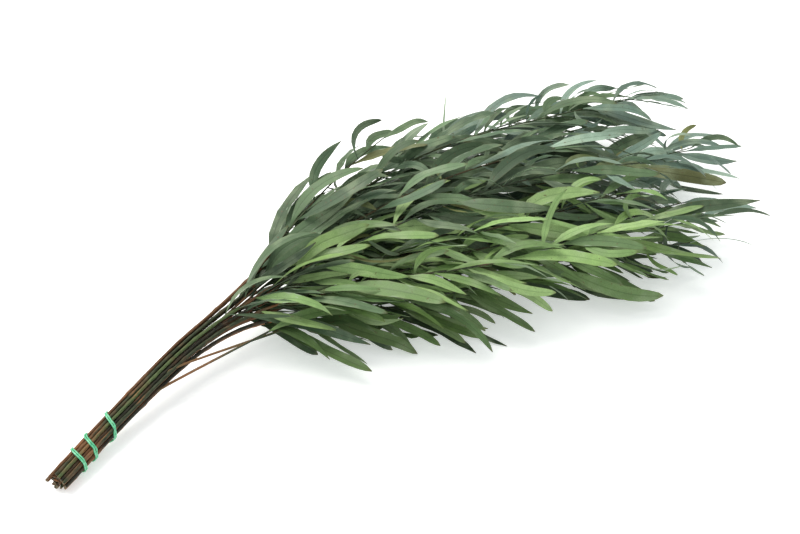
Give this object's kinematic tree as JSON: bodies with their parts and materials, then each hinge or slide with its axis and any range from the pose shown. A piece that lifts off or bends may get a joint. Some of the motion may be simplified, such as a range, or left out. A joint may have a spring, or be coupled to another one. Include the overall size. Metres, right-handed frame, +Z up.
{
  "type": "tied bunch of dried willow eucalyptus",
  "caption": "Tied bunch of preserved narrow-leaved eucalyptus branches lying down, with bare woody stems at one end and a wide fan of long leaves at the other.",
  "frame": {"origin": "middle of the bounding box, on the surface that the bunch lies on", "axes": "+X along the bunch from the cut ends to the leaf tips, +Y to the side that the stems bend out to, +Z up"},
  "size_m": [0.782, 0.2932, 0.1257],
  "materials": {
    "bark": "matte brown and dark green bark",
    "leaf": "satin leathery preserved leaf",
    "elastic": "satin mint green elastic"
  },
  "bodies": {
    "root": {"woody_stem_01": "bark", "woody_stem_02": "bark", "woody_stem_03": "bark", "woody_stem_04": "bark", "woody_stem_05": "bark", "woody_stem_06": "bark", "woody_stem_07": "bark", "woody_stem_08": "bark", "woody_stem_09": "bark", "woody_stem_10": "bark", "woody_stem_11": "bark", "woody_stem_12": "bark", "woody_stem_13": "bark", "woody_stem_14": "bark", "woody_stem_15": "bark", "woody_stem_16": "bark", "woody_stem_17": "bark", "woody_stem_18": "bark", "woody_stem_19": "bark", "woody_stem_20": "bark", "woody_stem_21": "bark", "woody_stem_22": "bark", "leafy_shoot_01": "leaf", "leafy_shoot_02": "leaf", "leafy_shoot_03": "leaf", "leafy_shoot_04": "leaf", "leafy_shoot_05": "leaf", "leafy_shoot_06": "leaf", "leafy_shoot_07": "leaf", "leafy_shoot_08": "leaf", "leafy_shoot_09": "leaf", "leafy_shoot_10": "leaf", "leafy_shoot_11": "leaf", "leafy_shoot_12": "leaf", "leafy_shoot_13": "leaf", "leafy_shoot_14": "leaf", "leafy_shoot_15": "leaf", "leafy_shoot_16": "leaf", "leafy_shoot_17": "leaf", "leafy_shoot_18": "leaf", "leafy_shoot_19": "leaf", "leafy_shoot_20": "leaf", "leafy_shoot_21": "leaf", "leafy_shoot_22": "leaf", "side_shoot_01": "leaf", "side_shoot_02": "leaf", "side_shoot_03": "leaf", "side_shoot_04": "leaf", "side_shoot_05": "leaf", "side_shoot_06": "leaf", "side_shoot_07": "leaf", "side_shoot_08": "leaf", "side_shoot_09": "leaf", "side_shoot_10": "leaf", "side_shoot_11": "leaf", "side_shoot_12": "leaf", "side_shoot_13": "leaf", "side_shoot_14": "leaf", "elastic_tie": "elastic"}
  },
  "joints": []
}
